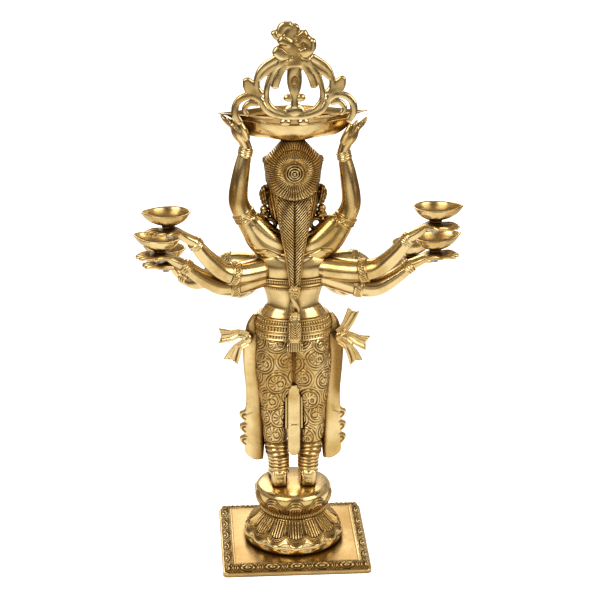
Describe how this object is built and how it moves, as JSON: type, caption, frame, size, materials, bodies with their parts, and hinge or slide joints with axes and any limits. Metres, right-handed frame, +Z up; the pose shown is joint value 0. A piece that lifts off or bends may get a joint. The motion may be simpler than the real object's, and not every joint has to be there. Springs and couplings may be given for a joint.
{
  "type": "standing oil lamp",
  "caption": "Cast brass standing oil lamp: a many-armed lamp bearer on a lotus pedestal, with small swivelling lamps in the side hands and a boat-shaped lamp with an openwork crest overhead.",
  "frame": {"origin": "centre of the base plate's underside, on the surface that the lamp stands on", "axes": "+Z up, -Y the way the figure faces, +X the figure's left"},
  "size_m": [0.3062, 0.1388, 0.5326],
  "materials": {
    "brass": "polished casting with brown patina in the recesses",
    "steel": "dull plated fasteners"
  },
  "bodies": {
    "root": {"base_plate": "brass", "base_screw_left": "steel", "base_screw_right": "steel", "pedestal_washer": "steel", "pedestal_bolt": "steel", "lotus_lower": "brass", "lotus_collar": "brass", "lotus_upper": "brass", "figure_body": "brass", "hip_belt": "brass", "bust_band": "brass", "skirt_pleat": "brass", "head": "brass", "hair_disc": "brass", "hair_braid": "brass", "braid_tassel": "brass", "boat_lamp": "brass", "crest": "brass", "drape_left": "brass", "drape_right": "brass", "sash_left": "brass", "sash_right": "brass", "ear_ring_left": "brass", "ear_ring_right": "brass", "crest_rivet_left": "steel", "crest_rivet_right": "steel", "raised_arm_left": "brass", "raised_arm_right": "brass", "rear_arm_left": "brass", "rear_arm_right": "brass", "middle_arm_left": "brass", "middle_arm_right": "brass", "front_arm_left": "brass", "front_arm_right": "brass", "joined_arm_left": "brass", "joined_arm_right": "brass"},
    "rear_lamp_left": {"rear_lamp_left": "brass", "rear_lamp_nut_left": "steel"},
    "rear_lamp_right": {"rear_lamp_right": "brass", "rear_lamp_nut_right": "steel"},
    "middle_lamp_left": {"middle_lamp_left": "brass", "middle_lamp_nut_left": "steel"},
    "middle_lamp_right": {"middle_lamp_right": "brass", "middle_lamp_nut_right": "steel"},
    "front_lamp_left": {"front_lamp_left": "brass", "front_lamp_nut_left": "steel"},
    "front_lamp_right": {"front_lamp_right": "brass", "front_lamp_nut_right": "steel"}
  },
  "joints": [
    {"name": "rear_swivel_left", "type": "hinge", "parent": "root", "child": "rear_lamp_left", "pos_m": [0.115, 0.045, 0.3472], "axis": [0, 0, 1], "range_deg": [-30, 30]},
    {"name": "rear_swivel_right", "type": "hinge", "parent": "root", "child": "rear_lamp_right", "pos_m": [-0.127, 0.045, 0.3472], "axis": [0, 0, 1], "range_deg": [-30, 30]},
    {"name": "middle_swivel_left", "type": "hinge", "parent": "root", "child": "middle_lamp_left", "pos_m": [0.124, 0.012, 0.3117], "axis": [0, 0, 1], "range_deg": [-30, 30]},
    {"name": "middle_swivel_right", "type": "hinge", "parent": "root", "child": "middle_lamp_right", "pos_m": [-0.132, 0.012, 0.3067], "axis": [0, 0, 1], "range_deg": [-30, 30]},
    {"name": "front_swivel_left", "type": "hinge", "parent": "root", "child": "front_lamp_left", "pos_m": [0.119, -0.03, 0.2872], "axis": [0, 0, 1], "range_deg": [-30, 30]},
    {"name": "front_swivel_right", "type": "hinge", "parent": "root", "child": "front_lamp_right", "pos_m": [-0.115, -0.03, 0.2872], "axis": [0, 0, 1], "range_deg": [-30, 30]}
  ]
}
